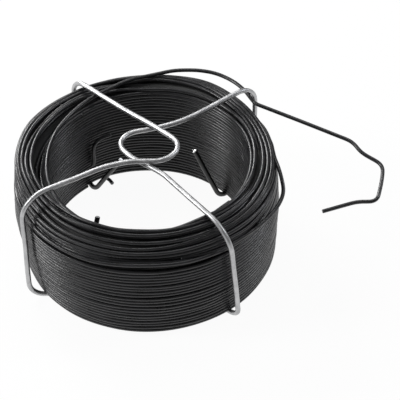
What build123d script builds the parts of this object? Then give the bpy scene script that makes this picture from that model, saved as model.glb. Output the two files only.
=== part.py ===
"""Coil of black annealed binding wire, held together by two bent galvanised clips.

The wound wire is one turned solid with its bore.  Its outline has one ridge for every turn
that shows on the two ends, and two grooves in the wall where turns stand off.  The top is
crowned, because the outer turns have slipped down.  Each clip is one bent wire that starts in
the bore, runs under the coil, up its wall, over its top and round a loop above the bore, and
goes back the same way on the other side.  The last turn of the wire lies on the inner rim,
crosses the top, and springs off the coil at the back.
Lengths are in millimetres, +Z is up, and the origin is on the floor below the coil's axis.
"""
import os
from dataclasses import dataclass
from math import cos, pi, radians, sin, sqrt, tan

from build123d import *

# Binding wire, and the coil wound from it
wire_diameter = 1.4
turn_gap = 0.03
end_turns = 7
coil_bore_radius = 36.0
coil_height = 41.0
turn_relief = 0.4
rim_round = 0.6
shoulder_drop = 5.0
wall_bulge = 0.3
loose_groove_height = 17.8
shoulder_groove_below = 4.9
groove_depth = 0.6
groove_width = 1.2

# Clips: wire size, bends, and how far the runs stand off the coil
clip_diameter = 1.8
clip_seat_gap = 0.05
root_gap = 0.6
stub_height = 26.0
loop_lift = 2.7
crossing_gap = 0.35
back_crossing_spread = 0.35

# Free end of the wire, and the inner end that peels off the bore
rest_gap = 0.25
spring_lift = 0.6
inner_end_gap = 0.25
inner_end_foot = 11.0
inner_end_rise = 11.5
inner_end_lean = 1.4

# A wire's section is a regular polygon with the area of the round wire
section_sides = 8
corner_factor = sqrt(2 * pi / (section_sides * sin(2 * pi / section_sides)))

turn_pitch = wire_diameter + turn_gap
coil_outer_radius = coil_bore_radius + end_turns * turn_pitch
wire_reach = corner_factor * wire_diameter / 2
clip_reach = corner_factor * clip_diameter / 2
coil_base = 2 * clip_reach + clip_seat_gap
coil_top = coil_base + coil_height


def polar(radius, azimuth, height):
    """Point at a radius and an azimuth (degrees) from the coil's axis, at a height."""
    return Vector(radius * cos(radians(azimuth)), radius * sin(radians(azimuth)), height)


def crown_height(radius):
    """Height of the crest line of the top: level at the bore, dropped at the shoulder."""
    share = (radius - coil_bore_radius) / (end_turns * turn_pitch)
    return coil_top - shoulder_drop * share**2


def end_outline(crest_height):
    """Outline of one end, from the bore outwards: a ridge for each turn, and rounded rims."""
    points = [(coil_bore_radius, crest_height(coil_bore_radius, rim_round))]
    for turn in range(end_turns):
        crest = coil_bore_radius + (turn + 0.5) * turn_pitch
        valley = coil_bore_radius + (turn + 1) * turn_pitch
        points.append((crest, crest_height(crest, 0.0)))
        points.append((valley, crest_height(valley, turn_relief)))
    points.pop()
    return points


def wall_outline():
    """Outline of the outer wall, from below: bulged stretches between two grooves."""
    wall = coil_outer_radius + wall_bulge
    shoulder = crown_height(coil_outer_radius) - rim_round
    points = [(wall, coil_base + rim_round)]
    for height in (coil_base + loose_groove_height, shoulder - shoulder_groove_below):
        points.append((wall, height - groove_width / 2))
        points.append((wall - groove_depth, height))
        points.append((wall, height + groove_width / 2))
    points.append((wall, shoulder))
    return points


def wound_coil():
    """Turned solid of the wound wire, from its outline round the bore, wall and ends."""
    bottom = end_outline(lambda radius, relief: coil_base + relief)
    top = end_outline(lambda radius, relief: crown_height(radius) - relief)
    with BuildPart() as coil:
        with BuildSketch(Plane.XZ):
            with BuildLine():
                Polyline(*bottom, *wall_outline(), *reversed(top), close=True)
            make_face()
        revolve(axis=Axis.Z)
    return coil.part


def bent_wire(points, radii, diameter):
    """Wire of a diameter along straight runs joined by tangent arcs of the given radii."""
    with BuildPart() as wire:
        with BuildLine():
            route = FilletPolyline(*points, radius=radii)
        with BuildSketch(Plane(origin=route @ 0, z_dir=route % 0)):
            RegularPolygon(corner_factor * diameter / 2, section_sides)
        sweep()
    expected = pi * diameter**2 / 4 * route.length
    print(f"length {route.length:.1f} mm, volume {wire.part.volume:.1f} mm3,"
          f" section times length {expected:.1f} mm3")
    return wire.part


def open_radii(points, share=0.45):
    """Largest arc at each corner that its two runs allow, as a list of radii."""
    radii = []
    for before, corner, after in zip(points, points[1:], points[2:]):
        arriving = corner - before
        leaving = after - corner
        shorter = min(arriving.length, leaving.length)
        half_turn = radians(arriving.get_angle(leaving)) / 2
        radii.append(share * shorter / tan(half_turn))
    return radii


@dataclass
class ClipArm:
    """One arm of a clip, from its end in the bore to the last corner before the loop."""

    tip_azimuth: float
    stub_lean: float
    root_azimuth: float
    root_bend: float
    wall_azimuth: float
    stand_off: float
    bottom_bend: float
    top_azimuth: float
    top_lift: float
    top_bend: float

    def points(self):
        """Tip of the stub, bend below the bore, bend below the wall, bend over the wall."""
        root_radius = coil_bore_radius - root_gap - clip_reach
        wall_radius = coil_outer_radius + wall_bulge + clip_reach + self.stand_off
        return [
            polar(root_radius - self.stub_lean, self.tip_azimuth, stub_height),
            polar(root_radius, self.root_azimuth, clip_reach),
            polar(wall_radius, self.wall_azimuth, clip_reach),
            polar(wall_radius, self.top_azimuth, coil_top + clip_reach + self.top_lift),
        ]

    def radii(self):
        """Radii of the three bends that points() gives."""
        return [self.root_bend, self.bottom_bend, self.top_bend]


def clip(start_arm, loop, loop_radii, end_arm):
    """Whole clip: up one arm, round the loop above the bore, and down the other arm."""
    points = start_arm.points() + loop + list(reversed(end_arm.points()))
    radii = start_arm.radii() + loop_radii + list(reversed(end_arm.radii()))
    return bent_wire(points, radii, clip_diameter)


def loop_points(plan, lifts):
    """Corners of a loop, from its plan points and their heights over the coil's top."""
    return [Vector(x, y, coil_top + lift) for (x, y), lift in zip(plan, lifts)]


# The right clip lies below at both crossings, and the left clip passes over it.  At the back
# crossing the left clip still climbs, so there the right loop dips and the left loop rises.
crossing_lift = loop_lift + clip_diameter + crossing_gap
right_back_lift = loop_lift - back_crossing_spread
left_back_lift = crossing_lift + back_crossing_spread

right_clip = clip(
    ClipArm(tip_azimuth=49, stub_lean=8.5, root_azimuth=41, root_bend=3.8, wall_azimuth=39.5,
            stand_off=4.0, bottom_bend=2.6, top_azimuth=39.5, top_lift=3.7, top_bend=7.0),
    loop_points([(11.2, 13.9), (-13.1, 7.8), (-5.1, -2.9), (6.2, -12.0)],
                [right_back_lift, right_back_lift, loop_lift, loop_lift]),
    [40, 6.5, 8, 19],
    ClipArm(tip_azimuth=-50, stub_lean=10.5, root_azimuth=-55, root_bend=3.4, wall_azimuth=-49.6,
            stand_off=2.2, bottom_bend=3.6, top_azimuth=-52.9, top_lift=0.3, top_bend=9.5),
)
left_clip = clip(
    ClipArm(tip_azimuth=120, stub_lean=15.0, root_azimuth=128, root_bend=4.5, wall_azimuth=123.5,
            stand_off=1.6, bottom_bend=2.6, top_azimuth=123.5, top_lift=1.8, top_bend=6.5),
    loop_points([(12.7, 0.8), (8.7, -7.9), (-10.0, -8.2)],
                [left_back_lift, crossing_lift, crossing_lift]),
    [7, 8.7, 30],
    ClipArm(tip_azimuth=212, stub_lean=14.0, root_azimuth=226, root_bend=3.4, wall_azimuth=211.4,
            stand_off=1.4, bottom_bend=4.2, top_azimuth=209.5, top_lift=3.2, top_bend=10.0),
)


def on_top(azimuth, outward):
    """Centre of a wire that lies on the crowned top, a distance outward of the bore."""
    radius = coil_bore_radius + outward
    return polar(radius, azimuth, crown_height(radius) + wire_reach + rest_gap)


def off_rim(azimuth, outward, above):
    """Centre of a wire near the outer rim, by its distances outward of it and above the top."""
    return polar(coil_outer_radius + outward, azimuth, coil_top + above)


# The last turn lies on the inner rim at the left, crosses the top and lifts off it at the
# back, passes inside the right clip's back bend and kinks there
rim_route = [
    on_top(214, 0.9),
    on_top(193, -0.8),
    on_top(172, -1.3),
    on_top(151, -1.0),
    on_top(131, 0.3),
    on_top(115, 1.8),
    on_top(103, 3.9) + Vector(0, 0, spring_lift),
    off_rim(92, -3.5, 1.1),
    off_rim(80, 0.1, 1.1),
    off_rim(69, 2.8, 1.1),
    off_rim(56, 4.2, 1.0),
    off_rim(45, 3.4, 0.8),
    off_rim(34, 1.3, 0.4),
]
kink = rim_route[-1]
# Steps from the kink to each corner of the free run, and to its cut end past the hook
free_run = [
    (16.0, -8.4, -1.4),
    (33.8, -18.0, -3.0),
    (36.6, -22.6, -4.2),
    (44.0, -27.6, -5.6),
    (43.0, -34.2, -6.8),
    (40.6, -43.4, -8.2),
    (34.0, -42.4, -8.8),
    (21.6, -45.4, -10.4),
]
free_points = rim_route + [kink + Vector(*step) for step in free_run]
free_radii = open_radii(free_points)
print("free end radii", [round(radius, 1) for radius in free_radii])
free_end = bent_wire(free_points, free_radii, wire_diameter)

# The inner end peels off the bore at the back, rises, and stops a little way in
peel_radius = coil_bore_radius - wire_reach - inner_end_gap
inner_points = [
    polar(peel_radius - share * inner_end_lean, azimuth,
          coil_base + inner_end_foot + rise * inner_end_rise)
    for azimuth, share, rise in ((127, 0.0, 0.0), (124, 0.2, 0.24), (120, 0.5, 0.58), (114, 1.0, 1.0))
]
inner_end = bent_wire(inner_points, open_radii(inner_points), wire_diameter)

wire_coil = wound_coil()

os.makedirs("parts", exist_ok=True)
wire_coil.label = "wire_coil"
export_step(wire_coil, "parts/wire_coil.step")
free_end.label = "free_end"
export_step(free_end, "parts/free_end.step")
inner_end.label = "inner_end"
export_step(inner_end, "parts/inner_end.step")
left_clip.label = "left_clip"
export_step(left_clip, "parts/left_clip.step")
right_clip.label = "right_clip"
export_step(right_clip, "parts/right_clip.step")
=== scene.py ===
"""Studio scene for a coil of black annealed binding wire held by two galvanised clips.

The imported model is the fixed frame, and every piece here stands for one of its nodes.  The
wound wire is one spiral that runs up the bore, out over the top, down the outer wall and in
again below, drawn through sections of the coil at several azimuths, so that its turns slip and
stand off where they do on the real one.  Sizes in the classes are millimetres, azimuths are
degrees from +X, and a mesh is written in metres.
"""

import logging
from dataclasses import dataclass, field
from enum import Enum

import bpy
import numpy as np
from bpy.types import Material, Node, NodeSocket, NodeTree
from mathutils import Matrix, Vector


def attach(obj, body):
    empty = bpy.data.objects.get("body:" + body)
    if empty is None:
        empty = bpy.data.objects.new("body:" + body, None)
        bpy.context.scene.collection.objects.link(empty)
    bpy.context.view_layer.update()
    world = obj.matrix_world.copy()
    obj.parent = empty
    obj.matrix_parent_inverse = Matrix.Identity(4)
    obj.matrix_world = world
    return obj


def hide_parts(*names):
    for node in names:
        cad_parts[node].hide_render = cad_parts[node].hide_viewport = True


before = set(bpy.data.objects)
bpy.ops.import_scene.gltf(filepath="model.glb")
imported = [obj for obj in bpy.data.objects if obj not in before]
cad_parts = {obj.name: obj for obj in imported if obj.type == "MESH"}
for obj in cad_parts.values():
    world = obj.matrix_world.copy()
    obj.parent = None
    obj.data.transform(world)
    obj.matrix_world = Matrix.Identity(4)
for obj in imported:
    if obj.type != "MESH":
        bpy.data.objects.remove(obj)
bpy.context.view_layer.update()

MM = 0.001
WIRE_DIAMETER = 1.4
# Samples in a stretch of a smooth curve, fewest steps in an arc, and how much of a wire's
# diameter the edge of a cut is rounded by
STRETCH_SAMPLES = 24
ARC_SAMPLES = 6
CUT_ROUND = 0.12
log = logging.getLogger("binding_wire")
Array = np.ndarray
Point = tuple[float, float, float]
Colour = tuple[float, float, float]
Plan = tuple[float, float]


class Slot(Enum):
    """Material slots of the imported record."""

    ANNEALED = "annealed_wire"
    GALVANISED = "galvanised_wire"


# Curves and surfaces


def polar(radius: Array | float, azimuth: Array | float, height: Array | float) -> Array:
    """Points round the coil's axis, from their radius, azimuth and height."""
    turn = np.radians(azimuth)
    return np.stack(np.broadcast_arrays(radius * np.cos(turn), radius * np.sin(turn), height), -1)


def route(rows: tuple[Point, ...]) -> Array:
    """Points round the coil's axis, from rows of radius, azimuth and height."""
    return np.array([polar(*row) for row in rows])


def unit(vectors: Array) -> Array:
    """Rows of an array scaled to length one."""
    return vectors / np.maximum(np.linalg.norm(vectors, axis=-1, keepdims=True), 1e-12)


def along(path: Array) -> Array:
    """Distance along a path at each of its points."""
    steps = np.linalg.norm(np.diff(path, axis=0), axis=1)
    return np.concatenate([[0.0], np.cumsum(steps)])


def even(path: Array, step: float) -> Array:
    """Path resampled by linear interpolation at an even step.

    Args:
        path: Points of the path.
        step: Largest distance between two samples.

    Returns:
        Samples of the path, with its two ends.
    """
    distance = along(path)
    count = max(int(np.ceil(distance[-1] / step)), 2)
    wanted = np.linspace(0.0, distance[-1], count + 1)
    return np.stack([np.interp(wanted, distance, path[:, axis]) for axis in range(3)], -1)


def relaxed(path: Array, reach: int) -> Array:
    """Path softened by a moving mean, weighted by a cosine bell.

    Past its ends the path is carried on by turning it about its end points, so they stay.

    Args:
        path: Points of the path.
        reach: Points that the bell takes in on each side.

    Returns:
        The softened points.
    """
    bell = 0.5 + 0.5 * np.cos(np.linspace(-np.pi, np.pi, 2 * reach + 3))[1:-1]
    bell /= bell.sum()
    before = 2 * path[0] - path[reach:0:-1]
    after = 2 * path[-1] - path[-2:-reach - 2:-1]
    padded = np.concatenate([before, path, after])
    return np.stack([np.convolve(padded[:, axis], bell, "valid") for axis in range(3)], -1)


def curve_through(points: Array, step: float) -> Array:
    """Smooth curve through points, each stretch a cubic that leaves along its neighbours' chord.

    Args:
        points: Points that the curve passes.
        step: Distance between the samples that come back.

    Returns:
        Points along the curve.
    """
    ends = np.concatenate([[2 * points[0] - points[1]], points, [2 * points[-1] - points[-2]]])
    share = np.linspace(0.0, 1.0, STRETCH_SAMPLES, endpoint=False)[None, :, None]
    a, b, c, d = (ends[first:len(ends) - 3 + first, None, :] for first in range(4))
    cubic = 0.5 * (2 * b + (c - a) * share + (2 * a - 5 * b + 4 * c - d) * share**2
                   + (3 * b - 3 * c + d - a) * share**3)
    return even(np.concatenate([cubic.reshape(-1, 3), points[-1:]]), step)


def rounded(points: Array, radii: list[float], step: float) -> Array:
    """Straight runs joined by arcs that touch both runs.

    Args:
        points: Corners of the route, with its two ends.
        radii: Radius of the arc at each inner corner.
        step: Distance between the samples that come back.

    Returns:
        Points along the route.
    """
    parts = [points[:1]]
    for before, corner, after, radius in zip(points, points[1:], points[2:], radii):
        arriving, leaving = unit(corner - before), unit(after - corner)
        turn = np.arccos(np.clip(arriving @ leaving, -1.0, 1.0))
        start = corner - arriving * radius * np.tan(turn / 2)
        inward = unit(leaving - arriving * (arriving @ leaving))
        swept = np.linspace(0.0, turn, max(int(radius * turn / step), ARC_SAMPLES))[:, None]
        parts.append(start + radius * (arriving * np.sin(swept) + inward * (1 - np.cos(swept))))
    parts.append(points[-1:])
    return even(np.concatenate(parts), step)


def open_radii(points: Array, share: float = 0.45) -> list[float]:
    """Radius of the arc at each corner, from half the turn's tangent and the shorter run.

    Args:
        points: Corners of the route, with its two ends.
        share: Part of a run that an arc may take up.

    Returns:
        One radius for each inner corner.
    """
    arriving, leaving = points[1:-1] - points[:-2], points[2:] - points[1:-1]
    shorter = np.minimum(np.linalg.norm(arriving, axis=1), np.linalg.norm(leaving, axis=1))
    turn = np.arccos(np.clip((unit(arriving) * unit(leaving)).sum(1), -1.0, 1.0))
    return list(share * shorter / np.tan(turn / 2))


def carried_pair(path: Array) -> tuple[Array, Array]:
    """Two directions across a path, carried along it without twist.

    At each point a first pair comes from the axis that the tangent leans to least.  The angle
    by which each pair turns against the one before is added up and taken out again.

    Args:
        path: Points of the path.

    Returns:
        The two directions at each point, square to the tangent and to each other.
    """
    tangent = unit(np.gradient(path, axis=0))
    side = unit(np.cross(tangent, np.eye(3)[np.abs(tangent).argmin(1)]))
    up = np.cross(tangent, side)
    turned = np.arctan2((side[:-1] * up[1:]).sum(1), (side[:-1] * side[1:]).sum(1))
    twist = np.concatenate([[0.0], np.cumsum(turned)])[:, None]
    first = side * np.cos(twist) + up * np.sin(twist)
    return first, np.cross(tangent, first)


@dataclass
class Surface:
    """Mesh data of a piece.

    Attributes:
        corners: Points in millimetres.
        quads: Corner numbers of the faces with four sides.
        caps: Corner numbers of the faces that close the ends.
        wire_space: Distance along the wire, and the two distances across it, at each corner.
        cut: 1 at the corners of a cut face.
        painted_shade: Share of painted shade at each corner, which darkens a clip's ends in the bore.
    """

    corners: Array
    quads: Array
    caps: list[list[int]] = field(default_factory=list)
    wire_space: Array | None = None
    cut: Array | None = None
    painted_shade: Array | None = None


def grid_quads(rows: int, columns: int, closed_rows: bool) -> Array:
    """Faces of a grid of corners whose columns close on themselves.

    Args:
        rows: Rows of the grid.
        columns: Corners in a row.
        closed_rows: Whether the last row joins the first.

    Returns:
        Four corner numbers for each face, that go along the row first.
    """
    row, column = np.meshgrid(np.arange(rows if closed_rows else rows - 1), np.arange(columns),
                              indexing="ij")
    next_row, next_column = (row + 1) % rows, (column + 1) % columns
    corners = (row * columns + column, row * columns + next_column,
               next_row * columns + next_column, next_row * columns + column)
    return np.stack(corners, -1).reshape(-1, 4)


def wire(path: Array, diameter: float, sides: int) -> Surface:
    """Round wire along a path: a circle of the wire's diameter carried along it without twist.

    A corner is the path's point, plus the cosine of its angle along the first direction across
    and the sine along the second, times the radius.  The two end rings are drawn in, so that
    the edges of the cuts are a little rounded.

    Args:
        path: Points of the centre line.
        diameter: Diameter of the wire.
        sides: Corners of a ring.

    Returns:
        The wire's surface, closed by its two cut faces.
    """
    tangent = unit(np.gradient(path, axis=0))
    first, second = (np.concatenate([side[:1], side, side[-1:]]) for side in carried_pair(path))
    edge = CUT_ROUND * diameter
    path = np.concatenate([path[:1], path[:1] + tangent[:1] * edge, path[1:-1],
                           path[-1:] - tangent[-1:] * edge, path[-1:]])
    count = len(path)
    radius = np.full((count, 1, 1), diameter / 2)
    radius[[0, -1]] -= edge
    angle = np.linspace(0.0, 2 * np.pi, sides, endpoint=False)
    circle = np.stack([np.cos(angle), np.sin(angle)], -1)[None]
    ring = first[:, None] * circle[..., :1] + second[:, None] * circle[..., 1:]
    corners = path[:, None] + ring * radius
    distance = np.broadcast_to(along(path)[:, None, None], (count, sides, 1))
    wire_space = np.concatenate([distance, circle * radius], -1)
    cut = np.zeros((count, sides))
    cut[[0, -1]] = 1.0
    caps = [list(range(sides))[::-1], list(range((count - 1) * sides, count * sides))]
    return Surface(corners.reshape(-1, 3), grid_quads(count, sides, closed_rows=False), caps,
                   wire_space.reshape(-1, 3), cut.ravel())


def placed(name: str, surface: Surface, material: Material,
           stands_for: str) -> None:
    """Puts a surface into the scene as a piece of the object.

    Args:
        name: Name of the piece.
        surface: Mesh data in millimetres.
        material: Finish of the piece.
        stands_for: CAD node that the piece replaces.
    """
    mesh = bpy.data.meshes.new(name)
    mesh.from_pydata((surface.corners * MM).tolist(), [], surface.quads.tolist() + surface.caps)
    mesh.polygons.foreach_set("use_smooth", np.arange(len(mesh.polygons)) < len(surface.quads))
    if surface.wire_space is not None:
        space = mesh.attributes.new("wire_space", "FLOAT_VECTOR", "POINT")
        space.data.foreach_set("vector", surface.wire_space.astype(np.float32).ravel())
    for label, values in (("cut_face", surface.cut), ("painted_shade", surface.painted_shade)):
        if values is not None:
            mark = mesh.attributes.new(label, "FLOAT", "POINT")
            mark.data.foreach_set("value", values.astype(np.float32))
    mesh.materials.append(material)
    mesh.update()
    piece = bpy.data.objects.new(name, mesh)
    bpy.context.scene.collection.objects.link(piece)
    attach(piece, "root")
    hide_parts(stands_for)
    triangles = 2 * len(surface.quads) + sum(len(cap) - 2 for cap in surface.caps)
    log.info("%s: %d triangles, stands for %s", name, triangles, stands_for)


# Finishes


def node(tree: NodeTree, kind: str, inputs: dict | None = None, **settings: object
         ) -> Node:
    """Adds a node to a tree.

    Args:
        tree: Tree that gets the node.
        kind: Type name of the node.
        inputs: Values for its input sockets, or output sockets to link there.
        settings: Properties of the node.

    Returns:
        The new node.
    """
    made = tree.nodes.new(kind)
    for key, value in settings.items():
        setattr(made, key, value)
    for key, value in (inputs or {}).items():
        if isinstance(value, NodeSocket):
            tree.links.new(value, made.inputs[key])
        else:
            made.inputs[key].default_value = value
    return made


def maths(tree: NodeTree, operation: str, *values: object) -> NodeSocket:
    """Result of a Math node on numbers or sockets."""
    return node(tree, "ShaderNodeMath", dict(enumerate(values)), operation=operation).outputs[0]


def group(name: str, inputs: dict[str, object], outputs: dict[str, str]
          ) -> tuple[NodeTree, Node, Node]:
    """New shader node group with named sockets.

    Args:
        name: Name of the group.
        inputs: Input names with their default values, or None for a vector that is linked.
        outputs: Output names with the words Float or Color.

    Returns:
        The tree, its input node and its output node.
    """
    tree = bpy.data.node_groups.new(name, "ShaderNodeTree")
    for key, value in inputs.items():
        kind = "NodeSocketVector" if value is None else "NodeSocketFloat"
        socket = tree.interface.new_socket(key, in_out="INPUT", socket_type=kind)
        if value is not None:
            socket.default_value = value
    for key, kind in outputs.items():
        tree.interface.new_socket(key, in_out="OUTPUT", socket_type=f"NodeSocket{kind}")
    return tree, node(tree, "NodeGroupInput"), node(tree, "NodeGroupOutput")


def drawn_grain_group() -> NodeTree:
    """Lengthwise die lines of drawn wire: noise stretched along the wire's own space.

    Returns:
        The group, with the inputs Wire space, Stretch and Fineness and the output Lines.
    """
    tree, given, result = group(
        "Drawn grain", {"Wire space": None, "Stretch": 0.12, "Fineness": 4.0}, {"Lines": "Float"})
    parts = node(tree, "ShaderNodeSeparateXYZ", {0: given.outputs["Wire space"]})
    slow = maths(tree, "MULTIPLY", parts.outputs["X"], given.outputs["Stretch"])
    space = node(tree, "ShaderNodeCombineXYZ",
                 {"X": slow, "Y": parts.outputs["Y"], "Z": parts.outputs["Z"]})
    lines = node(tree, "ShaderNodeTexNoise", {
        "Vector": space.outputs[0], "Scale": given.outputs["Fineness"], "Detail": 3.0,
        "Roughness": 0.6})
    tree.links.new(lines.outputs["Fac"], result.inputs["Lines"])
    return tree


def patches_group() -> NodeTree:
    """Patches of scale or zinc: coarse noise with soft edges, and specks from a finer one.

    Returns:
        The group, with the inputs Place, Size and Sharpness and the outputs Patches and Specks.
    """
    speck_fineness = 6.0
    tree, given, result = group(
        "Surface patches", {"Place": None, "Size": 300.0, "Sharpness": 0.2},
        {"Patches": "Float", "Specks": "Float"})
    coarse = node(tree, "ShaderNodeTexNoise", {
        "Vector": given.outputs["Place"], "Scale": given.outputs["Size"], "Detail": 4.0,
        "Roughness": 0.55, "Distortion": 0.4})
    low = maths(tree, "SUBTRACT", 0.5, given.outputs["Sharpness"])
    high = maths(tree, "ADD", 0.5, given.outputs["Sharpness"])
    shaped = node(tree, "ShaderNodeMapRange", {
        "Value": coarse.outputs["Fac"], "From Min": low, "From Max": high},
        interpolation_type="SMOOTHSTEP")
    fine = maths(tree, "MULTIPLY", given.outputs["Size"], speck_fineness)
    dots = node(tree, "ShaderNodeTexNoise", {
        "Vector": given.outputs["Place"], "Scale": fine, "Detail": 2.0})
    specks = node(tree, "ShaderNodeMapRange", {
        "Value": dots.outputs["Fac"], "From Min": 0.62, "From Max": 0.74})
    tree.links.new(shaped.outputs[0], result.inputs["Patches"])
    tree.links.new(specks.outputs[0], result.inputs["Specks"])
    return tree


@dataclass(frozen=True)
class Finish:
    """Finish of a wire: patches, specks and die lines over a Principled surface.

    Attributes:
        name: Name of the material.
        colour: Colour between the patches.
        patch_colour: Colour of the patches.
        speck_colour: Colour of the specks.
        cut_colour: Colour of a cut end.
        painted_shade_colour: Colour of the painted shade, where the wire stands in shade.
        roughness: Roughness between the patches.
        patch_roughness: Roughness of the patches.
        metallic: 1 for bare metal, 0 for a coat of scale.
        patch_size: Scale of the patches' noise.
        patch_sharpness: Half width of the patches' edges, in the noise's own level.
        speck_share: How far a speck takes on its own colour.
        line_depth: Depth of the die lines in millimetres.
        line_roughness: How far the die lines change the roughness.
        speck_height: Height of a speck against a die line.
        relief: Strength of the bump.
    """

    name: str
    colour: Colour
    patch_colour: Colour
    speck_colour: Colour
    cut_colour: Colour
    painted_shade_colour: Colour
    roughness: float
    patch_roughness: float
    metallic: float = 0.0
    patch_size: float = 140.0
    patch_sharpness: float = 0.22
    speck_share: float = 0.25
    line_depth: float = 0.05
    line_roughness: float = 0.25
    speck_height: float = 0.5
    relief: float = 0.35

    def build(self, grain: NodeTree, patches: NodeTree) -> Material:
        """Makes the material.

        Args:
            grain: Group of the die lines.
            patches: Group of the patches and specks.

        Returns:
            The material, whose patterns read Object coordinates and the wire's own space.
        """
        material = bpy.data.materials.new(self.name)
        material.use_nodes = True
        tree = material.node_tree
        shader = tree.nodes["Principled BSDF"]
        place = node(tree, "ShaderNodeTexCoord").outputs["Object"]
        space = node(tree, "ShaderNodeAttribute", attribute_name="wire_space").outputs["Vector"]
        # The second attribute marks where shade is painted into the colour: a clip's ends in the bore.
        cut, shade_share = (node(tree, "ShaderNodeAttribute", attribute_name=name).outputs["Fac"]
                     for name in ("cut_face", "painted_shade"))
        patch = node(tree, "ShaderNodeGroup", {
            "Place": place, "Size": self.patch_size, "Sharpness": self.patch_sharpness},
            node_tree=patches)
        line = node(tree, "ShaderNodeGroup", {"Wire space": space}, node_tree=grain)
        base = self.mixed(tree, patch.outputs["Patches"], self.colour, self.patch_colour)
        speck = maths(tree, "MULTIPLY", patch.outputs["Specks"], self.speck_share)
        for share, colour in ((speck, self.speck_colour), (shade_share, self.painted_shade_colour),
                              (cut, self.cut_colour)):
            base = self.mixed(tree, share, base, colour)
        rough = node(tree, "ShaderNodeMapRange", {
            "Value": patch.outputs["Patches"], "To Min": self.roughness,
            "To Max": self.patch_roughness}).outputs[0]
        lines = line.outputs["Lines"]
        streaks = maths(tree, "MULTIPLY", maths(tree, "SUBTRACT", lines, 0.5), self.line_roughness)
        rough = maths(tree, "ADD", rough, streaks)
        raised = maths(tree, "MULTIPLY", patch.outputs["Specks"], self.speck_height)
        bump = node(tree, "ShaderNodeBump", {
            "Height": maths(tree, "ADD", lines, raised), "Strength": self.relief,
            "Distance": self.line_depth * MM})
        tree.links.new(base, shader.inputs["Base Color"])
        tree.links.new(rough, shader.inputs["Roughness"])
        tree.links.new(bump.outputs[0], shader.inputs["Normal"])
        shader.inputs["Metallic"].default_value = self.metallic
        return material

    @staticmethod
    def mixed(tree: NodeTree, factor: NodeSocket, first: NodeSocket | Colour, second: Colour
              ) -> NodeSocket:
        """Colour between two others.

        Args:
            tree: Tree that gets the node.
            factor: Share of the second colour.
            first: First colour, or the socket that it comes from.
            second: Second colour.

        Returns:
            The socket of the mixed colour.
        """
        mix = node(tree, "ShaderNodeMix", {"Factor": factor}, data_type="RGBA")
        colour_in = [socket for socket in mix.inputs if socket.type == "RGBA"]
        if isinstance(first, NodeSocket):
            tree.links.new(first, colour_in[0])
        else:
            colour_in[0].default_value = (*first, 1.0)
        colour_in[1].default_value = (*second, 1.0)
        return next(socket for socket in mix.outputs if socket.type == "RGBA")


ANNEALED = Finish(
    name="annealed wire", colour=(0.011, 0.011, 0.012), patch_colour=(0.018, 0.018, 0.020),
    speck_colour=(0.060, 0.048, 0.038), cut_colour=(0.42, 0.42, 0.44),
    painted_shade_colour=(0.010, 0.010, 0.011), roughness=0.27, patch_roughness=0.36)
# Painted shade: a darker, duller copy of the annealed finish, for the inner windings that show between
# the turns.
SHADED = Finish(
    name="inner windings in painted shade", colour=(0.006, 0.006, 0.006), patch_colour=(0.009, 0.009, 0.009),
    speck_colour=(0.02, 0.018, 0.015), cut_colour=(0.01, 0.01, 0.01),
    painted_shade_colour=(0.006, 0.006, 0.006), roughness=0.62, patch_roughness=0.72)
# The darkest colour of the galvanised finish is painted shade, put on the clip ends that stand in the
# bore.
ZINC = Finish(
    name="galvanised wire", colour=(0.44, 0.443, 0.45), patch_colour=(0.58, 0.58, 0.585),
    speck_colour=(0.22, 0.22, 0.22), cut_colour=(0.80, 0.80, 0.80),
    painted_shade_colour=(0.045, 0.045, 0.045), roughness=0.40, patch_roughness=0.50, metallic=1.0,
    patch_size=260.0, patch_sharpness=0.14, speck_share=0.6)


# The wound wire


@dataclass(frozen=True)
class Station:
    """Section of the coil's skin at one azimuth.

    Attributes:
        azimuth: Where the section is taken.
        crest: Radius and height of the turns from the inner rim to the last one above the wall.
        wall_radius: Radius of the wall's turns at its foot, middle and top.
        wall_top: Height of the wall's uppermost turn.
        groove: Extra room below and above the loose band of the wall.
    """

    azimuth: float
    crest: tuple[Plan, ...]
    wall_radius: tuple[float, float, float]
    wall_top: float
    groove: float


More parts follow.
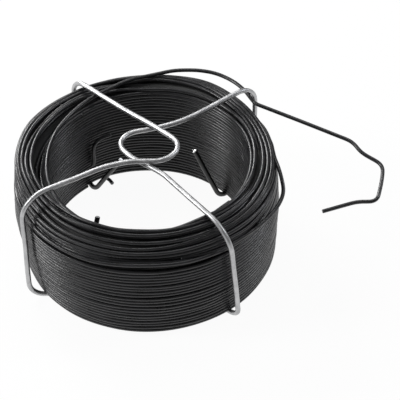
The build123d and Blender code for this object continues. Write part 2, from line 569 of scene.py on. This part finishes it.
STATIONS = (
    Station(180.0, ((36.9, 37), (38.4, 36.6), (40.2, 42), (42, 42.3), (41.1, 39.9), (43.4, 41.9),
            (44.7, 41.6), (45.2, 40.4), (45.3, 39.1), (45.4, 37.8), (45.5, 36.6), (45.7, 35.4),
            (45.8, 34.2), (45.8, 33)), (44.9, 46.8, 45.8), 31.8, 0),
    Station(200.0, ((36.9, 37.8), (37.9, 38.6), (38.8, 42.2), (40.45, 42.2), (39.6, 40.4), (41.8, 41.85),
            (43, 40.93), (43.9, 39.98), (44.7, 39.02), (45.1, 37.4), (44.4, 36.9), (44.9, 35.6),
            (46, 34.9), (46.1, 33.5)), (44.4, 46.2, 46.3), 32.1, 0.05),
    Station(225.0, ((36.8, 39), (37, 39.9), (37, 41.99), (39.1, 41.36), (38.6, 40), (40.5, 40.08),
            (42.2, 38.77), (41.6, 38.2), (43.4, 37.29), (44.3, 36.12), (44.1, 34.9), (44.4, 33.6),
            (45.5, 33.92), (44.6, 32.3)), (44.4, 45.9, 46.0), 31.4, 0.15),
    Station(245.0, ((36.7, 39.6), (36.9, 41), (36.8, 42.53), (38.3, 42.07), (37.95, 40.63), (40.1, 40.32),
            (41.8, 38.9), (41.2, 37.6), (43.1, 37.82), (43.4, 36.5), (43.9, 35.52), (44.3, 34.3),
            (45.4, 34.15), (44, 31.24)), (44.8, 45.5, 45.7), 31.68, 0.4),
    Station(270.0, ((36.7, 39.8), (36.7, 41.25), (36.75, 42.7), (38.15, 42.1), (37.8, 40.78),
            (39.9, 40.16), (41.5, 38.61), (40.7, 37.3), (42.7, 37.97), (42.8, 36.61), (42.5, 34.72),
            (44, 35), (45.35, 35.14), (43.9, 32.34)), (45.0, 45.3, 45.4), 31.75, 0.5),
    Station(300.0, ((36.7, 41.4), (36.7, 43.05), (37.7, 42.41), (38.9, 41.95), (39, 40.68), (40.6, 40.09),
            (41.2, 39.26), (41.8, 38.31), (43.2, 37.7), (43.6, 36.61), (43.7, 35.28), (44.4, 33.32),
            (45.4, 33.9), (44.2, 32.3)), (45.3, 45.6, 45.5), 31.06, 0.5),
    Station(320.0, ((36.8, 41.3), (37.6, 42.5), (38.4, 41.75), (40, 41.98), (40.4, 40.56), (42, 40.71),
            (43.1, 39.57), (43.4, 38.43), (44.7, 38.08), (45, 35.76), (44.8, 34.1), (44, 33.4),
            (45.7, 32.5), (44.8, 31.8)), (45.5, 46.0, 45.7), 31.0, 0.35),
    Station(340.0, ((36.9, 41.5), (38.1, 42.8), (39.55, 41.5), (41.1, 42.1), (40.5, 40.6), (42.9, 42),
            (44.4, 41.6), (44.9, 40.6), (45.5, 38.28), (45.7, 37.2), (45.6, 36), (45.5, 34.8),
            (45.6, 33.6), (45.5, 32.4)), (45.5, 46.3, 45.8), 31.3, 0.2),
    Station(355.0, ((36.9, 41.6), (38.1, 42.8), (39.6, 40.5), (41.1, 42.3), (40.6, 40.4), (42.6, 42.3),
            (44, 41.7), (44.7, 40.5), (45.1, 39.2), (45.4, 37.8), (45.4, 36.5), (45.4, 35.2), (45.5, 34),
            (45.5, 32.7)), (45.4, 46.3, 45.9), 31.5, 0.1),
    Station(20.0, ((37.2, 41.9), (38.5, 42.8), (39.8, 42.1), (41.1, 42.2), (40.4, 40.6), (42.5, 42.1),
            (43.8, 41.9), (44.5, 40.9), (44.9, 39.6), (45.2, 38.3), (45.3, 36.9), (45.4, 35.6),
            (45.4, 34.3), (45.5, 32.9)), (45.3, 46.0, 45.7), 31.7, 0),
    Station(40.0, ((36.9, 41.5), (38, 42.85), (40.4, 42.5), (41.8, 42.5), (40.6, 40.8), (43, 42.5),
            (44.2, 42.2), (44.9, 41), (45.2, 39.7), (45.4, 38.4), (45.4, 37), (45.4, 35.7), (45.5, 34.4),
            (45.5, 33)), (45.3, 45.8, 45.6), 31.8, 0),
    Station(60.0, ((36.7, 41.4), (37.4, 42.9), (41.6, 42.5), (43.2, 42.6), (41, 40.2), (44.4, 42.5),
            (45.5, 42.3), (46.2, 41.2), (46.4, 39.8), (46.2, 38.4), (46, 37), (45.9, 35.7), (45.8, 34.4),
            (45.7, 33)), (45.3, 45.8, 45.7), 31.8, 0),
    Station(88.0, ((36.7, 40.6), (36.9, 42.1), (42.3, 42.2), (43.4, 42.4), (41, 40.4), (44.4, 42.1),
            (45.3, 41.1), (45.6, 39.8), (45.7, 38.4), (45.7, 37.1), (45.7, 35.8), (45.6, 34.6),
            (45.5, 33.5), (45.5, 32.4)), (45.2, 45.7, 45.6), 31.3, 0),
    Station(110.0, ((36.8, 39.2), (38.1, 40), (40.3, 41.9), (41.5, 41.8), (40.8, 40.3), (43.2, 42.1),
            (44.5, 42), (45.2, 40.8), (45.6, 39.5), (45.7, 38.2), (45.8, 36.9), (45.8, 35.6),
            (45.8, 34.3), (45.7, 33)), (45.1, 45.8, 45.7), 31.8, 0),
    Station(132.0, ((36.8, 38), (38.2, 37.8), (40.4, 42.2), (41.6, 41.8), (41, 40.3), (43.1, 42.2),
            (44.4, 42), (45.6, 41), (46, 39.7), (46.1, 38.4), (46.1, 37), (46, 35.7), (46, 34.4),
            (45.8, 33.1)), (45.0, 45.9, 45.9), 31.8, 0),
    Station(156.0, ((36.9, 37.4), (38.4, 37), (40.5, 42.2), (42.1, 41.1), (41.3, 39.7), (43.9, 42.4),
            (45.3, 42.2), (46.6, 41.1), (46.8, 39.7), (46.7, 38.3), (46.5, 37), (46.4, 35.7),
            (46.3, 34.4), (46.1, 33.1)), (45.1, 46.2, 46.1), 31.8, 0),
)


@dataclass
class Winding:
    """The wound wire's skin: one spiral through the sections of the coil, over a core in painted shade.

    Attributes:
        bore_radius: Radius of the wire's centre line in the bore.
        foot: Height of the lowest turns' centre line.
        bore_turns: Turns up the bore.
        wall_turns: Turns down the wall.
        end_turns: Turns of the underside that show.
        end_pitch: Distance between two turns of the underside.
        wall_shares: Places up the wall, from its foot, of a station's three wall radii.
        groove_turns: Turns of the wall, from its foot, below which a groove opens.
        start: Azimuth at which every turn starts.
        crossing: Degrees over which a turn crosses to the next one's place.
        wander: Spread of a turn about its place.
        wander_seed: Seed of the wander.
        blend: Degrees on each side over which the stations are blended.
        core_depth: How far the core lies inside the turns' centre lines.
        core_rows: Turns that have a ring of the core: in the bore, on the top, and from the wall on.
        core_degrees: Degrees between two sections of the core.
        section_centre: Radius and height of the middle of the coil's section.
        stray_step: Distance between the samples of a single turn.
        stray_sides: Corners round a single turn.
        sprung: Radius, azimuth and height of points along the turn that has sprung off.
        rise: The same of the last turn's rise at the left.
    """

    bore_radius: float = 36.7
    foot: float = 2.6
    bore_turns: int = 28
    wall_turns: int = 21
    end_turns: int = 5
    end_pitch: float = 1.45
    wall_shares: tuple[float, float, float] = (0.0, 0.65, 1.0)
    groove_turns: tuple[int, int] = (9, 12)
    start: float = 130.0
    crossing: float = 45.0
    wander: float = 0.055
    wander_seed: int = 11
    blend: int = 10
    core_depth: float = 0.95
    core_rows: tuple[int, ...] = (*range(0, 28, 4), *range(29, 42, 4), *range(44, 67, 3))
    core_degrees: int = 3
    section_centre: Plan = (41.0, 20.0)
    stray_step: float = 0.9
    stray_sides: int = 12
    sprung: tuple[Point, ...] = (
        (44.2, 46, 40.6), (44.6, 24, 40.9), (44.75, 11, 41.0), (44.8, 5, 41.0), (45.15, 0, 40.9),
        (46.4, -5, 40.2), (47.9, -10, 38.9), (49.2, -14.5, 37.0), (49.2, -19, 35.6),
        (48.3, -25, 34.5), (46.9, -33, 33.9), (45.9, -40, 33.8), (45.2, -51, 33.9),
        (44.6, -62, 34.3), (43.6, -74, 34.9))
    rise: tuple[Point, ...] = (
        (36.7, 322, 41.9), (36.7, 300, 41.6), (36.75, 280, 41.4), (36.75, 258, 41.3),
        (36.75, 240, 41.5), (36.6, 224, 42.3), (36.2, 212, 42.9), (35.4, 200, 43.3),
        (34.8, 191, 43.4))

    def knots(self, station: Station) -> Array:
        """Places of every turn at one section, from the bore's foot round to the underside.

        Args:
            station: Section that gives the places on the top and the wall.

        Returns:
            Radius and height of each turn.
        """
        crest = np.array(station.crest)
        bore = np.linspace((self.bore_radius, self.foot), crest[0], self.bore_turns + 1)[:-1]
        turn = np.arange(self.wall_turns)
        spare = sum(np.where(turn >= first, station.groove, 0.0) for first in self.groove_turns)
        pitch = (station.wall_top - self.foot - 2 * station.groove) / (self.wall_turns - 1)
        height = self.foot + turn * pitch + spare
        radius = np.interp(turn / (self.wall_turns - 1), self.wall_shares, station.wall_radius)
        wall = np.stack([radius, height], -1)[::-1]
        inward = station.wall_radius[0] - self.end_pitch * np.arange(1, self.end_turns + 1)
        end = np.stack([inward, np.full(self.end_turns, self.foot)], -1)
        return np.concatenate([bore, crest, wall, end])

    def table(self) -> Array:
        """Places of every turn at every whole degree of azimuth, with its wander.

        The sections are joined by straight lines over the azimuth, and a cosine bell takes the
        corners out.  Each turn wanders by smoothed random steps of its own.

        Returns:
            Radius and height, for each degree and each turn.
        """
        knots = np.stack([self.knots(station) for station in STATIONS])
        azimuth = np.array([station.azimuth for station in STATIONS])
        order = np.argsort(azimuth)
        degrees = np.arange(360.0)
        flat = knots[order].reshape(len(order), -1)
        joined = np.stack([np.interp(degrees, azimuth[order], column, period=360.0)
                           for column in flat.T], -1)
        draw = np.random.default_rng(self.wander_seed).normal(size=joined.shape)
        near = np.arange(-self.blend, self.blend + 1)
        bell = np.zeros(360)
        bell[near] = 0.5 + 0.5 * np.cos(np.pi * near / (self.blend + 1))
        spectrum = np.fft.rfft(bell / bell.sum())[:, None]
        smooth = np.fft.irfft(np.fft.rfft(joined, axis=0) * spectrum, 360, axis=0)
        slow = np.fft.irfft(np.fft.rfft(draw, axis=0) * spectrum**2, 360, axis=0)
        return (smooth + self.wander * slow / slow.std()).reshape(360, -1, 2)

    def path(self, table: Array, first: int, last: int, samples: int) -> Array:
        """Centre line of the turns from first to last.

        A turn keeps to its own row of the table, and over the last degrees before the starting
        azimuth it crosses to the next row.

        Args:
            table: Result of table().
            first: Number of the first turn.
            last: Number of the turn that the path ends at.
            samples: Points for each turn.

        Returns:
            Points of the path.
        """
        turns = np.linspace(first, last, (last - first) * samples + 1)
        whole = np.minimum(np.floor(turns + 1e-9).astype(int), last - 1)
        late = np.clip(((turns - whole) * 360.0 - 360.0 + self.crossing) / self.crossing, 0.0, 1.0)
        share = late**2 * (3 - 2 * late)
        azimuth = self.start + turns * 360.0
        degree = np.floor(azimuth).astype(int)
        part = (azimuth - degree)[:, None]
        here, there = degree % 360, (degree + 1) % 360

        def row(number: Array) -> Array:
            """Radius and height on a numbered row at each azimuth."""
            return table[here, number] * (1 - part) + table[there, number] * part

        place = row(whole) * (1 - share[:, None]) + row(whole + 1) * share[:, None]
        return polar(place[:, 0], azimuth, place[:, 1])

    def core(self, table: Array) -> Surface:
        """Body under the turns, in painted shade: the places of some of them, drawn in towards the
        middle.

        Args:
            table: Result of table().

        Returns:
            The core's surface, a closed ring of sections.
        """
        ring = table[::self.core_degrees, self.core_rows]
        inward = unit(np.array(self.section_centre) - ring)
        ring = ring + inward * self.core_depth
        azimuth = np.arange(0.0, 360.0, self.core_degrees)[:, None]
        corners = polar(ring[..., 0], azimuth, ring[..., 1])
        quads = grid_quads(len(azimuth), len(self.core_rows), closed_rows=True)
        return Surface(corners.reshape(-1, 3), quads)

    def build(self, finish: Material, dark: Material) -> None:
        """Builds the turns of the bore, top, wall and underside, the core and the single turns.

        Args:
            finish: Finish of the turns.
            dark: Finish of the core, a darker copy of the wire's finish as painted shade.
        """
        table = self.table()
        top = self.bore_turns
        wall = top + len(STATIONS[0].crest)
        foot = wall + self.wall_turns
        last = table.shape[1] - 1
        for name, first, end, samples, sides in (
                ("bore_turns", 0, top, 200, 8), ("top_turns", top, wall, 280, 10),
                ("wall_turns", wall, foot, 280, 8), ("underside_turns", foot, last, 200, 8)):
            surface = wire(self.path(table, first, end, samples), WIRE_DIAMETER, sides)
            placed(name, surface, finish, "wire_coil")
        placed("wound_core", self.core(table), dark, "wire_coil")
        for name, rows in (("sprung_turn", self.sprung), ("last_turn", self.rise)):
            path = curve_through(route(rows), self.stray_step)
            surface = wire(path, WIRE_DIAMETER, self.stray_sides)
            placed(name, surface, finish, "wire_coil")


# Wire ends


@dataclass
class WireEnds:
    """The free end that springs off the top, and the inner end that peels off the bore.

    Attributes:
        sides: Corners round the wire.
        step: Distance between the samples of the free end.
        fine_step: Distance between the samples of the inner end.
        kink_bend: Radius of the free end's kink.
        bend_share: Part of a run that a bend of the free end may take up.
        rim: Radius, azimuth and height of points along the free end, up to its kink.
        kink: The same of the kink.
        run: Steps from the kink to each later corner, and to the cut end.
        peel: Radius, azimuth and height of points along the inner end.
        spike: The same of the tip that shows below the coil.
    """

    sides: int = 14
    step: float = 0.7
    fine_step: float = 0.5
    kink_bend: float = 0.9
    bend_share: float = 0.38
    rim: tuple[Point, ...] = (
        (35.8, 205, 43.1), (34.9, 193, 43.4), (34.3, 182, 43.5), (34.1, 172, 43.5),
        (34.25, 161, 43.5), (34.5, 151, 43.5), (35.1, 139, 43.6), (35.95, 129, 43.75),
        (36.9, 119.5, 43.85), (37.8, 112, 43.9), (39.2, 105, 43.95), (40.9, 97.5, 44.0),
        (42.3, 89.5, 43.95), (43.6, 84.5, 44.0), (45.8, 78, 44.1), (47.4, 72, 44.1),
        (48.9, 66, 44.05), (49.9, 59, 44.0), (49.8, 51, 43.9), (49.0, 44, 43.7), (47.8, 38, 43.5))
    kink: Point = (47.3, 34, 43.35)
    run: tuple[Point, ...] = (
        (16.0, -8.4, -1.4), (33.8, -18.0, -3.0), (36.6, -22.6, -4.2), (44.0, -27.6, -5.6),
        (43.0, -34.2, -6.8), (40.6, -43.4, -8.2), (34.0, -42.4, -8.8), (21.6, -45.4, -10.4))
    peel: tuple[Point, ...] = (
        (35.0, 127, 13.0), (34.7, 126, 16.0), (34.5, 126.2, 20.0), (34.4, 125, 23.4),
        (34.2, 120.5, 25.2), (33.8, 114, 25.6))
    spike: tuple[Point, ...] = ((38.6, 117.0, 0.95), (36.6, 115.5, 0.85), (33.9, 115.0, 0.95))

    def free_path(self) -> Array:
        """Centre line of the free end: over the top, off the back, and by its kinks to the tip.

        The smooth curve stops short of the kink, and the run of bends starts on it there.

        Returns:
            Points of the centre line.
        """
        kink = polar(*self.kink)
        over = curve_through(route((*self.rim, self.kink)), self.step)
        corners = np.concatenate([over[-3:-2], kink[None], kink + np.array(self.run)])
        out = rounded(corners, [self.kink_bend] + open_radii(corners[1:], self.bend_share), self.step)
        return relaxed(even(np.concatenate([over[:-3], out]), self.step), 2)

    def build(self, finish: Material) -> None:
        """Builds the free end, the inner end, and the tip that shows below the coil.

        Args:
            finish: Finish of all three.
        """
        surface = wire(self.free_path(), WIRE_DIAMETER, self.sides)
        placed("free_end_wire", surface, finish, "free_end")
        for name, rows in (("inner_end_wire", self.peel), ("inner_end_tip", self.spike)):
            surface = wire(curve_through(route(rows), self.fine_step), WIRE_DIAMETER, self.sides)
            placed(name, surface, finish, "inner_end")


# Clips


@dataclass(frozen=True)
class ClipArm:
    """One arm of a clip, from its end in the bore to the last corner before the loop.

    Attributes:
        tip_azimuth: Azimuth of the end that stands in the bore.
        stub_lean: How far that end leans in from the bore.
        root_azimuth: Azimuth of the bend at the foot of the bore.
        root_bend: Radius of that bend.
        wall_azimuth: Azimuth of the bend at the foot of the wall.
        stand_off: Room between the upright run and the wall.
        bottom_bend: Radius of the bend at the foot of the wall.
        top_azimuth: Azimuth of the bend over the wall.
        top_lift: Room between the run over the top and the coil's top.
        top_bend: Radius of the bend over the wall.
        foot_out: How much further out the foot of the upright run stands.
        clip_reach: Height of the centre line over the floor, under the coil.
        root_radius: Radius of the bend at the foot of the bore from the coil's axis.
        wall_face: Radius of the coil's wall.
        coil_top: Height of the coil's top.
        stub_height: Height of the end that stands in the bore.
    """

    tip_azimuth: float
    stub_lean: float
    root_azimuth: float
    root_bend: float
    wall_azimuth: float
    stand_off: float
    bottom_bend: float
    top_azimuth: float
    top_lift: float
    top_bend: float
    foot_out: float = 0.0
    clip_reach: float = 0.9485
    root_radius: float = 34.4515
    wall_face: float = 46.31
    coil_top: float = 42.947
    stub_height: float = 26.0

    def points(self) -> Array:
        """Corners of the arm, from the tip of its stub in the bore.

        Returns:
            The tip, the bend below the bore, the bend below the wall and the bend over it.
        """
        wall = self.wall_face + self.clip_reach + self.stand_off
        return np.array([
            polar(self.root_radius - self.stub_lean, self.tip_azimuth, self.stub_height),
            polar(self.root_radius, self.root_azimuth, self.clip_reach),
            polar(wall + self.foot_out, self.wall_azimuth, self.clip_reach),
            polar(wall, self.top_azimuth, self.coil_top + self.clip_reach + self.top_lift)])

    def radii(self) -> list[float]:
        """Radii of the three bends that points() gives."""
        return [self.root_bend, self.bottom_bend, self.top_bend]


@dataclass
class Clip:
    """A bent clip wire: two arms and the loop between them, above the bore.

    Attributes:
        name: Name of the piece.
        stands_for: CAD node that it replaces.
        start_arm: Arm at which the wire starts.
        end_arm: Arm at which it ends.
        loop: Corners of the loop, with their heights over the coil's top.
        loop_radii: Radius of the bend at each of them.
        seed: Seed of the small waves.
        diameter: Diameter of the clip's wire.
        sides: Corners round the wire.
        step: Distance between the samples.
        softening: Samples over which the bends are softened, on each side.
        wave_reach: Samples over which the waves are smoothed, on each side.
        wander: Height of the waves.
        fade_samples: Samples from an end over which the waves grow.
        shade_within: Distance from the axis at which the stretch in painted shade starts.
        shade_fade: Distance over which the painted shade grows.
    """

    name: str
    stands_for: str
    start_arm: ClipArm
    end_arm: ClipArm
    loop: tuple[Point, ...]
    loop_radii: tuple[float, ...]
    seed: int
    diameter: float = 1.8
    sides: int = 18
    step: float = 0.6
    softening: int = 3
    wave_reach: int = 18
    wander: float = 0.10
    fade_samples: float = 90.0
    shade_within: float = 40.0
    shade_fade: float = 3.0

    def path(self) -> Array:
        """Centre line: the arms' runs and arcs, softened, with the small waves of a hand bend.

        Returns:
            Points of the centre line.
        """
        loop = np.array(self.loop) + np.array([0.0, 0.0, self.start_arm.coil_top])
        corners = np.concatenate([self.start_arm.points(), loop, self.end_arm.points()[::-1]])
        radii = self.start_arm.radii() + list(self.loop_radii) + self.end_arm.radii()[::-1]
        path = relaxed(rounded(corners, radii, self.step), self.softening)
        draw = np.random.default_rng(self.seed).normal(size=path.shape)
        waves = relaxed(draw, self.wave_reach)
        waves = waves / waves.std() * self.wander
        waves[:, 2] = np.maximum(waves[:, 2], 0.0)
        sample = np.arange(len(path))
        fade = np.clip(np.minimum(sample, sample[::-1]) / self.fade_samples, 0.0, 1.0)
        return path + waves * fade[:, None]

    def build(self, finish: Material) -> None:
        """Builds the clip, with painted shade darkening the ends that stand in the bore.

        Args:
            finish: Finish of the clip.
        """
        surface = wire(self.path(), self.diameter, self.sides)
        # Painted shade: the low stretch of the clip inside the bore gets a darker colour, standing in for
        # the shade there.
        from_axis = np.hypot(surface.corners[:, 0], surface.corners[:, 1])
        low = surface.corners[:, 2] < self.start_arm.stub_height + self.diameter
        shade_share = np.clip((self.shade_within - from_axis) / self.shade_fade, 0.0, 1.0)
        surface.painted_shade = np.where(low, shade_share, 0.0)
        placed(self.name, surface, finish, self.stands_for)


CLIPS = (
    Clip("right_clip_wire", "right_clip",
         ClipArm(tip_azimuth=49, stub_lean=8.5, root_azimuth=41, root_bend=3.8, wall_azimuth=39.5,
                 stand_off=3.6, bottom_bend=2.6, top_azimuth=39.5, top_lift=3.7, top_bend=7.0,
                 stub_height=27.3),
         ClipArm(tip_azimuth=-50, stub_lean=10.5, root_azimuth=-55, root_bend=3.4,
                 wall_azimuth=-50.4, stand_off=2.0, bottom_bend=3.6, top_azimuth=-54.6,
                 top_lift=0.1, top_bend=11.0, foot_out=0.15),
         ((11.2, 13.9, 2.35), (-13.1, 7.8, 2.35), (-5.1, -2.9, 2.7), (6.2, -12.0, 2.7)),
         (40, 6.5, 8, 19), seed=3),
    Clip("left_clip_wire", "left_clip",
         ClipArm(tip_azimuth=120, stub_lean=15.0, root_azimuth=128, root_bend=7.0,
                 wall_azimuth=123.5, stand_off=1.6, bottom_bend=2.6, top_azimuth=123.5,
                 top_lift=0.7, top_bend=6.5),
         ClipArm(tip_azimuth=212, stub_lean=14.0, root_azimuth=226, root_bend=3.4,
                 wall_azimuth=211.4, stand_off=1.4, bottom_bend=5.4, top_azimuth=211.0,
                 top_lift=2.9, top_bend=10.0, foot_out=0.9, stub_height=24.5),
         ((12.7, 0.8, 5.2), (8.7, -7.9, 4.85), (-10.0, -8.2, 4.85)), (7, 8.7, 30), seed=5),
)


# Studio


@dataclass(frozen=True)
class Softbox:
    """A rectangular studio lamp that points at the coil.

    Attributes:
        name: Name of the lamp.
        place: Middle of its face.
        width: Width of its face.
        height: Height of its face.
        watts: Power.
        colour: Colour of the light.
    """

    name: str
    place: Point
    width: float
    height: float
    watts: float
    colour: Colour = (1.0, 1.0, 1.0)

    def build(self, target: Vector) -> None:
        """Hangs the lamp.

        Args:
            target: Point that the lamp faces.
        """
        lamp = bpy.data.lights.new(self.name, "AREA")
        lamp.shape = "RECTANGLE"
        lamp.size, lamp.size_y = self.width, self.height
        lamp.energy, lamp.color = self.watts, self.colour
        holder = bpy.data.objects.new(self.name, lamp)
        holder.location = self.place
        holder.rotation_euler = (target - Vector(self.place)).to_track_quat("-Z", "Y").to_euler()
        bpy.context.scene.collection.objects.link(holder)


@dataclass
class Studio:
    """Camera, pale floor, surround and lamps, in metres.

    Attributes:
        distance: Distance of the camera from the point that it aims at.
        elevation: Degrees that the camera stands above that point.
        lens: Focal length in millimetres.
        sensor: Width of the sensor in millimetres.
        roll: Degrees that the camera is turned about its own axis.
        aim: Point that the camera and the lamps aim at.
        horizon: Strength of the surround at the horizon.
        zenith: Strength of the surround overhead.
        shadow_share: Share of the lit paper in what the camera sees of the floor.
        floor_reach: Distance from the axis to the floor's edges.
        paper: Grey of the floor's paper.
        lamps: The four lamps.
    """

    distance: float = 0.600
    elevation: float = 44.07
    lens: float = 150.86
    sensor: float = 36.0
    roll: float = -1.018
    aim: Point = (0.01873, 0.0, 0.02117)
    horizon: float = 0.05
    zenith: float = 0.22
    shadow_share: float = 0.05
    floor_reach: float = 6.0
    paper: float = 0.86
    lamps: tuple[Softbox, ...] = (
        Softbox("left softbox", (-0.80, -0.05, 0.48), 0.22, 0.55, 5.6),
        Softbox("right softbox", (0.80, 0.15, 0.60), 0.20, 0.45, 2.4, (0.93, 0.95, 1.0)),
        Softbox("back softbox", (-0.42, 0.66, 0.50), 0.40, 0.26, 6.5),
        Softbox("top softbox", (0.05, 0.40, 0.98), 0.40, 0.28, 2.0),
    )

    def camera(self) -> None:
        """Camera at the angle of the photograph, with its small roll."""
        raised, rolled = np.radians(self.elevation), np.radians(self.roll)
        back = np.array([0.0, -np.cos(raised), np.sin(raised)])
        right = np.array([1.0, 0.0, 0.0])
        up = np.cross(back, right)
        turned_right = np.cos(rolled) * right + np.sin(rolled) * up
        turned_up = -np.sin(rolled) * right + np.cos(rolled) * up
        data = bpy.data.cameras.new("camera")
        data.lens, data.sensor_width = self.lens, self.sensor
        data.clip_start, data.clip_end = 0.01, 20.0
        camera = bpy.data.objects.new("camera", data)
        place = Vector(np.array(self.aim) + self.distance * back)
        axes = Matrix(np.stack([turned_right, turned_up, back], -1).tolist())
        camera.matrix_world = Matrix.LocRotScale(place, axes.to_quaternion(), None)
        bpy.context.scene.collection.objects.link(camera)
        bpy.context.scene.camera = camera

    def floor(self) -> None:
        """White floor that keeps a share of the coil's shadow for the camera."""
        reach = self.floor_reach
        mesh = bpy.data.meshes.new("floor")
        mesh.from_pydata([(-reach, -reach, 0.0), (reach, -reach, 0.0), (reach, reach, 0.0),
                          (-reach, reach, 0.0)], [], [(0, 1, 2, 3)])
        floor = bpy.data.objects.new("floor", mesh)
        bpy.context.scene.collection.objects.link(floor)
        material = bpy.data.materials.new("floor paper")
        material.use_nodes = True
        tree = material.node_tree
        tree.nodes.remove(tree.nodes["Principled BSDF"])
        paper = node(tree, "ShaderNodeBsdfDiffuse", {"Color": (self.paper,) * 3 + (1.0,)})
        white = node(tree, "ShaderNodeEmission", {"Color": (1.0, 1.0, 1.0, 1.0)})
        path = node(tree, "ShaderNodeLightPath")
        shown = maths(tree, "MAXIMUM", path.outputs["Is Camera Ray"], path.outputs["Is Glossy Ray"])
        shown = maths(tree, "MULTIPLY", shown, 1.0 - self.shadow_share)
        mix = node(tree, "ShaderNodeMixShader", {0: shown, 1: paper.outputs[0], 2: white.outputs[0]})
        tree.links.new(mix.outputs[0], tree.nodes["Material Output"].inputs["Surface"])
        mesh.materials.append(material)

    def world(self) -> None:
        """Surround of a plain room: dim at the horizon, and rising to a pale ceiling."""
        world = bpy.data.worlds.new("surround")
        world.use_nodes = True
        bpy.context.scene.world = world
        tree = world.node_tree
        direction = node(tree, "ShaderNodeTexCoord").outputs["Generated"]
        raised = node(tree, "ShaderNodeSeparateXYZ", {0: direction}).outputs["Z"]
        level = node(tree, "ShaderNodeMapRange", {
            "Value": raised, "To Min": self.horizon, "To Max": self.zenith})
        tree.links.new(level.outputs[0], tree.nodes["Background"].inputs["Strength"])
        tree.nodes["Background"].inputs["Color"].default_value = (1.0, 1.0, 1.0, 1.0)

    def build(self) -> None:
        """Sets up the whole studio."""
        self.camera()
        self.floor()
        self.world()
        for lamp in self.lamps:
            lamp.build(Vector(self.aim))
        bpy.context.scene.view_settings.view_transform = "Standard"


def main() -> None:
    """Builds the studio and every piece of the coil, in order."""
    logging.basicConfig(level=logging.INFO, format="%(name)s: %(message)s")
    Studio().build()
    grain, patches = drawn_grain_group(), patches_group()
    annealed, dark, zinc = (finish.build(grain, patches) for finish in (ANNEALED, SHADED, ZINC))
    Winding().build(annealed, dark)
    WireEnds().build(annealed)
    for clip in CLIPS:
        clip.build(zinc)


if __name__ == "__main__":
    main()
